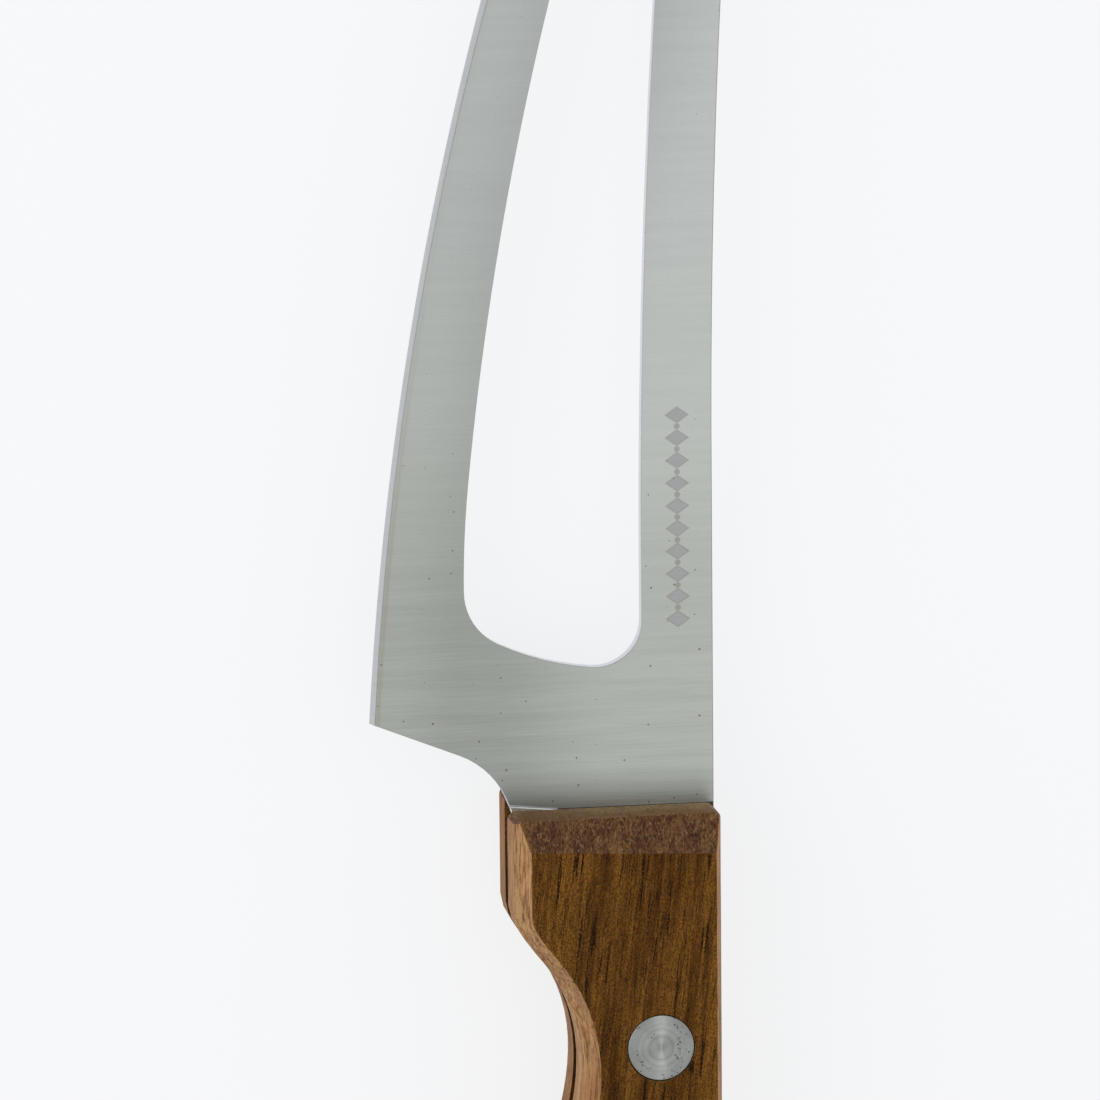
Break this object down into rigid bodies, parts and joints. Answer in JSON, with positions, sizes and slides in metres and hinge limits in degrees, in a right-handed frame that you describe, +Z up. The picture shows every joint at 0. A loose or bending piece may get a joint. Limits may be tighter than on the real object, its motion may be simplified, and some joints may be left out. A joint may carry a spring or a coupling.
{
  "type": "cheese knife",
  "caption": "Soft-cheese knife with an open window in its blade, an upswept forked tip and riveted wooden scales.",
  "frame": {"origin": "under the middle of the knife's outline, on the plane of the back scale's flat face", "axes": "+Y towards the tip, +X towards the spine, +Z up from the back scale to the front scale"},
  "size_m": [0.0452, 0.251, 0.0164],
  "materials": {
    "blade_steel": "fine satin brushed across the blade",
    "scale_wood": "open-pored dark brown, lightly oiled",
    "rivet_metal": "faced off with fine turning rings"
  },
  "bodies": {
    "root": {"blade": "blade_steel", "front_scale": "scale_wood", "back_scale": "scale_wood", "rivet_1_post": "rivet_metal", "rivet_1_sleeve": "rivet_metal", "rivet_2_post": "rivet_metal", "rivet_2_sleeve": "rivet_metal", "rivet_3_post": "rivet_metal", "rivet_3_sleeve": "rivet_metal"}
  },
  "joints": []
}
